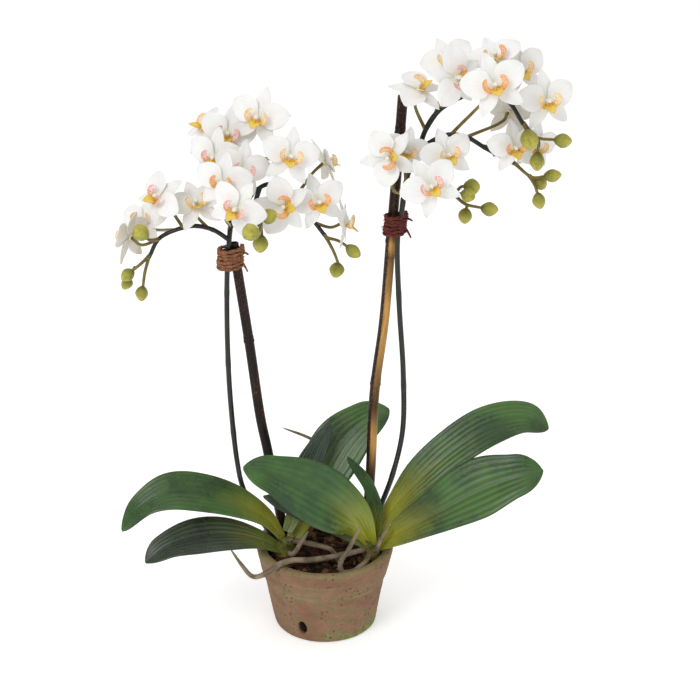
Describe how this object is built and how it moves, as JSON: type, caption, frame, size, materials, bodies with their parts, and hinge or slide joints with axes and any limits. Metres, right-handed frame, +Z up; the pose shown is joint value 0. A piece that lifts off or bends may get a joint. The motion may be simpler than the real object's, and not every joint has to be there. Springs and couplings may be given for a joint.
{
  "type": "potted miniature moth orchid",
  "caption": "Miniature moth orchid plants in a weathered terracotta pot, with strap leaves, aerial roots and arching sprays of white blooms tied to bamboo stakes.",
  "frame": {"origin": "centre of the pot's flat base, on the surface it stands on", "axes": "+Z up along the pot's axis, -Y toward the front of the plant, +X to its right"},
  "size_m": [0.3523, 0.1545, 0.5037],
  "materials": {
    "pot": "weathered unglazed terracotta, red-brown with green-grey patina",
    "potting_mix": "dark bark chips",
    "bamboo": "dark brown bamboo with bronze streaks",
    "twine_copper": "copper-brown twisted twine",
    "twine_maroon": "dark maroon twisted twine",
    "stem": "dark green to black stems, olive stalks and buds",
    "plant_base": "yellow-green leaf sheaths and grey-beige roots",
    "leaf": "glossy green leaves with yellow-green bases and grey-purple undersides",
    "bloom": "white petals with a yellow and pink spotted lip"
  },
  "bodies": {
    "root": {"bloom_left_01": "bloom", "bloom_left_02": "bloom", "bloom_left_03": "bloom", "bloom_left_04": "bloom", "bloom_left_05": "bloom", "bloom_left_06": "bloom", "bloom_left_07": "bloom", "bloom_left_08": "bloom", "bloom_left_09": "bloom", "bloom_left_10": "bloom", "bloom_left_11": "bloom", "bloom_left_12": "bloom", "bloom_left_13": "bloom", "bloom_left_14": "bloom", "bloom_left_15": "bloom", "bloom_left_16": "bloom", "bloom_right_01": "bloom", "bloom_right_02": "bloom", "bloom_right_03": "bloom", "bloom_right_04": "bloom", "bloom_right_05": "bloom", "bloom_right_06": "bloom", "bloom_right_07": "bloom", "bloom_right_08": "bloom", "bloom_right_09": "bloom", "bloom_right_10": "bloom", "bloom_right_11": "bloom", "bloom_right_12": "bloom", "bloom_right_13": "bloom", "bloom_right_14": "bloom", "leaf_left_back": "leaf", "leaf_left_lower": "leaf", "leaf_left_small": "leaf", "leaf_left_upper": "leaf", "leaf_right_front": "leaf", "leaf_right_lower": "leaf", "leaf_right_new": "leaf", "leaf_right_under": "leaf", "leaf_right_upper": "leaf", "plant_base_left": "plant_base", "plant_base_right": "plant_base", "pot": "pot", "potting_mix": "potting_mix", "spray_left": "stem", "spray_right": "stem", "stake_left": "bamboo", "stake_right": "bamboo", "tie_left": "twine_copper", "tie_right": "twine_maroon"}
  },
  "joints": []
}
